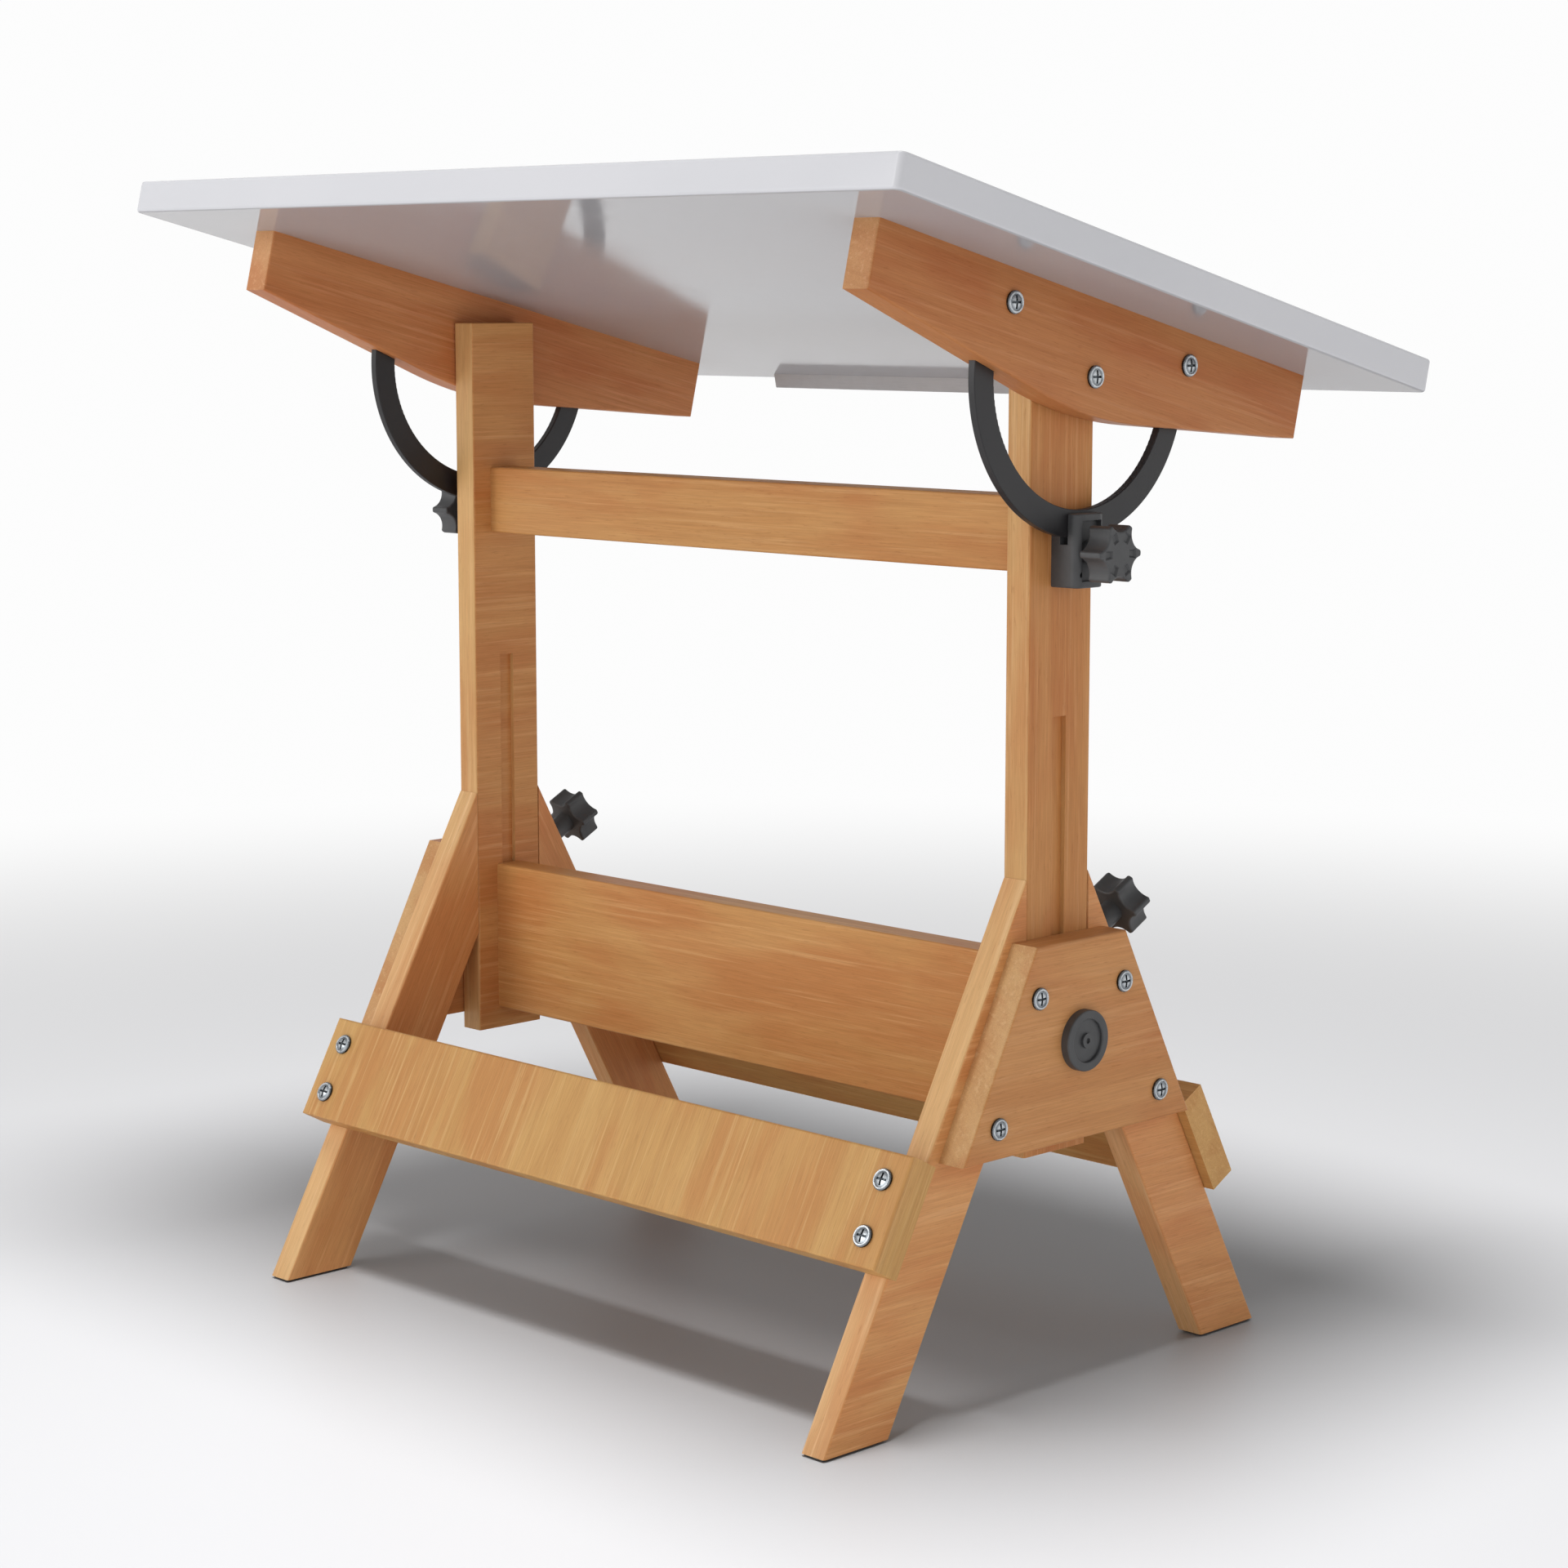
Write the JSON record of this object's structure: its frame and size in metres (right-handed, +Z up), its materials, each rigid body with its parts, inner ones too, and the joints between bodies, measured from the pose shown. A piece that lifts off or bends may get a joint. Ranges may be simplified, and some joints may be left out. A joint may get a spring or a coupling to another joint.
{
  "type": "drafting table",
  "caption": "Wooden drafting table: white tilting board on bearers with clamped tilt arcs, on a height-adjustable two-post stand with splayed legs.",
  "frame": {"origin": "on the floor, under the middle of the whole table's outline", "axes": "+Z up, -Y towards the user (low edge of the board), X along the board and the stretchers"},
  "size_m": [1.067, 0.7479, 1.1274],
  "materials": {
    "honey_wood": "satin clear varnish",
    "board_laminate": "white gloss laminate on particle board",
    "black_metal": "satin black",
    "black_plastic": "satin charcoal moulding",
    "zinc_steel": "bright zinc",
    "brass": "plain",
    "nylon": "natural",
    "rubber": "matt",
    "grey_aluminium": "satin anodised",
    "beech": "plain"
  },
  "bodies": {
    "base": {"leg_front_left": "honey_wood", "leg_rear_left": "honey_wood", "leg_front_right": "honey_wood", "leg_rear_right": "honey_wood", "gusset_left": "honey_wood", "gusset_right": "honey_wood", "rail_front": "honey_wood", "rail_rear": "honey_wood", "foot_pads": "rubber", "rail_screws": "zinc_steel", "gusset_screws": "zinc_steel", "guide_cap_left": "black_plastic", "guide_cap_right": "black_plastic", "guide_bolts": "black_metal", "guide_shoes": "nylon", "height_inserts": "brass"},
    "lift_frame": {"post_left": "honey_wood", "post_right": "honey_wood", "upper_stretcher": "honey_wood", "lower_stretcher": "honey_wood", "frame_dowels": "beech", "clamp_bracket_left": "black_plastic", "clamp_bracket_right": "black_plastic", "bracket_screws": "zinc_steel", "post_inserts": "brass", "pivot_washers": "zinc_steel", "pivot_bolts": "zinc_steel"},
    "drawing_top": {"board": "board_laminate", "bearer_left": "honey_wood", "bearer_right": "honey_wood", "tilt_arc_left": "black_metal", "tilt_arc_right": "black_metal", "arc_screws": "zinc_steel", "board_dowels": "beech", "pencil_ledge": "grey_aluminium", "ledge_screws": "zinc_steel"},
    "tilt_knob_left": {"tilt_knob_left": "black_plastic", "tilt_stud_left": "zinc_steel"},
    "height_knob_left": {"height_knob_left": "black_plastic", "height_stud_left": "zinc_steel"},
    "tilt_knob_right": {"tilt_knob_right": "black_plastic", "tilt_stud_right": "zinc_steel"},
    "height_knob_right": {"height_knob_right": "black_plastic", "height_stud_right": "zinc_steel"}
  },
  "joints": [
    {"name": "height_slide", "type": "slide", "parent": "base", "child": "lift_frame", "axis": [0, 0, 1], "range_m": [-0.18, 0.06]},
    {"name": "board_tilt", "type": "hinge", "parent": "lift_frame", "child": "drawing_top", "pos_m": [0, 0.01656, 0.941], "axis": [1, 0, 0], "range_deg": [-13.5, 46.5]},
    {"name": "tilt_knob_left_turn", "type": "hinge", "parent": "lift_frame", "child": "tilt_knob_left", "pos_m": [-0.446, 0.01656, 0.784], "axis": [-1, 0, 0], "range_deg": [0, 450]},
    {"name": "height_knob_left_turn", "type": "hinge", "parent": "base", "child": "height_knob_left", "pos_m": [-0.391, -0.07308, 0.43959], "axis": [0, -0.8802, 0.4745], "range_deg": [0, 450]},
    {"name": "tilt_knob_right_turn", "type": "hinge", "parent": "lift_frame", "child": "tilt_knob_right", "pos_m": [0.446, 0.01656, 0.784], "axis": [1, 0, 0], "range_deg": [0, 450]},
    {"name": "height_knob_right_turn", "type": "hinge", "parent": "base", "child": "height_knob_right", "pos_m": [0.391, -0.07308, 0.43959], "axis": [0, -0.8802, 0.4745], "range_deg": [0, 450]}
  ]
}
